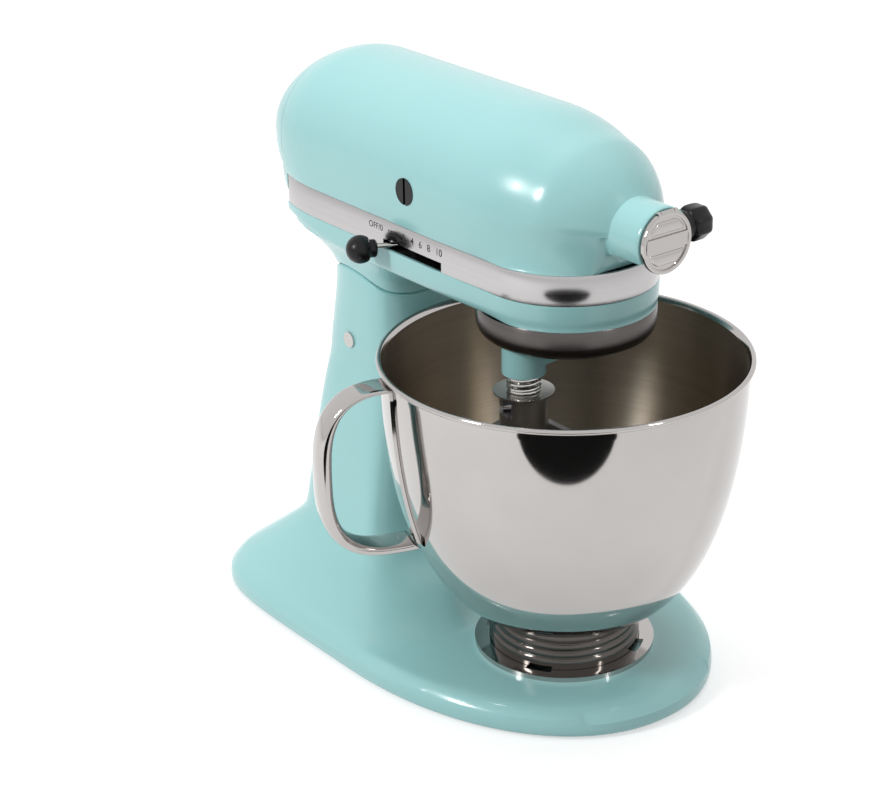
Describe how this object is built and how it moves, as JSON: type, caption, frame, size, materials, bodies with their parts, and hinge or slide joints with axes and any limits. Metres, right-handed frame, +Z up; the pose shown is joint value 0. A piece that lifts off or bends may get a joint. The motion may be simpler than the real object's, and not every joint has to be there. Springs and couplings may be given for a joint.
{
  "type": "tilt-head stand mixer",
  "caption": "Tilt-head stand mixer with a planetary flat beater, a twist-lock steel bowl with a side handle, a front attachment hub and a slide speed lever",
  "frame": {"origin": "on the counter plane under the feet, on the bowl axis", "axes": "+Z up; the attachment hub points to -Y; the speed knob is on the -X side"},
  "size_m": [0.257, 0.3606, 0.352],
  "materials": {
    "enamel": "gloss enamel, aqua",
    "polished": "mirror polished steel",
    "steel": "brushed or plain steel",
    "aluminium": "burnished cast aluminium",
    "brass": "machined bronze and brass",
    "copper": "enamelled copper winding",
    "black": "moulded black phenolic",
    "rubber": "moulded rubber",
    "carbon": "pressed carbon",
    "board": "glass-filled circuit board"
  },
  "bodies": {
    "stand": {"base": "enamel", "column": "enamel", "rubber_feet": "rubber", "column_bolts": "steel", "clamp_plate": "polished", "clamp_plate_screws": "steel", "hinge_pin": "polished", "hinge_set_screw": "steel", "height_screw": "steel"},
    "head": {"gearcase": "enamel", "motor_housing": "enamel", "housing_screws": "steel", "rear_cover": "enamel", "rear_cover_screw": "steel", "cord_gland": "black", "trim_band": "polished", "brush_holders": "black", "brushes": "carbon", "brush_caps": "black", "hub_sleeve": "steel", "hub_cover_pin": "steel", "stator": "steel", "front_bearing": "aluminium", "rear_bearing": "aluminium", "control_board": "board", "gear_bracket": "aluminium", "bracket_screws": "steel", "ring_gear": "steel", "drip_ring": "steel"},
    "motor_rotor": {"armature": "steel", "commutator": "copper", "motor_fan": "black", "governor": "brass"},
    "worm_gear": {"worm_wheel": "brass"},
    "carrier": {"centre_gear": "brass", "planetary": "enamel", "planetary_pin": "steel"},
    "beater": {"planet_pinion": "steel", "beater_shaft": "steel", "shaft_pin": "steel", "shaft_spring": "steel", "spring_washer": "steel", "flat_beater": "aluminium"},
    "hub_drive": {"hub_shaft": "steel"},
    "hub_flap": {"hub_cover": "polished"},
    "clamp_knob": {"attachment_knob": "black"},
    "lock": {"lock_lever": "polished", "lock_knob": "black"},
    "bowl_set": {"bowl": "polished", "bowl_foot": "polished", "bowl_handle": "polished"},
    "speed_control": {"speed_lever": "polished", "speed_knob": "black"}
  },
  "joints": [
    {"name": "head_tilt", "type": "hinge", "parent": "stand", "child": "head", "pos_m": [0, 0.158, 0.177], "axis": [-1, 0, 0], "range_deg": [0, 50]},
    {"name": "planetary_spin", "type": "hinge", "parent": "head", "child": "carrier", "pos_m": [0, 0, 0.235], "axis": [0, 0, 1], "continuous": true},
    {"name": "beater_spin", "type": "hinge", "parent": "carrier", "child": "beater", "pos_m": [-0.03298, -0.00115, 0.2], "axis": [0, 0, 1], "continuous": true},
    {"name": "worm_wheel_spin", "type": "hinge", "parent": "head", "child": "worm_gear", "pos_m": [0.02915, 0.04546, 0.26], "axis": [0, 0, 1], "continuous": true},
    {"name": "motor_spin", "type": "hinge", "parent": "head", "child": "motor_rotor", "pos_m": [0, 0.13, 0.2983], "axis": [0, 1, 0], "continuous": true},
    {"name": "hub_spin", "type": "hinge", "parent": "head", "child": "hub_drive", "pos_m": [0, -0.04, 0.2983], "axis": [0, 1, 0], "continuous": true},
    {"name": "hub_flap_hinge", "type": "hinge", "parent": "head", "child": "hub_flap", "pos_m": [0, -0.08178, 0.3152], "axis": [-1, 0, 0], "range_deg": [0, 110]},
    {"name": "attachment_knob_turn", "type": "hinge", "parent": "head", "child": "clamp_knob", "pos_m": [0.03, -0.068, 0.2983], "axis": [1, 0, 0], "continuous": true},
    {"name": "lock_lever_turn", "type": "hinge", "parent": "stand", "child": "lock", "pos_m": [0, 0.133, 0.202], "axis": [-1, 0, 0], "range_deg": [0, 70]},
    {"name": "bowl_twist", "type": "hinge", "parent": "stand", "child": "bowl_set", "pos_m": [0, 0, 0.03], "axis": [0, 0, 1], "range_deg": [0, 30]},
    {"name": "speed_lever_swing", "type": "hinge", "parent": "head", "child": "speed_control", "pos_m": [-0.009, 0.074, 0.2583], "axis": [0, 0, 1], "range_deg": [0, 54]}
  ],
  "couplings": [
    {"joint": "beater_spin", "follows": "planetary_spin", "ratio": -4.1429},
    {"joint": "worm_wheel_spin", "follows": "planetary_spin", "ratio": -3.5},
    {"joint": "motor_spin", "follows": "planetary_spin", "ratio": 70},
    {"joint": "hub_spin", "follows": "planetary_spin", "ratio": 2.5}
  ]
}
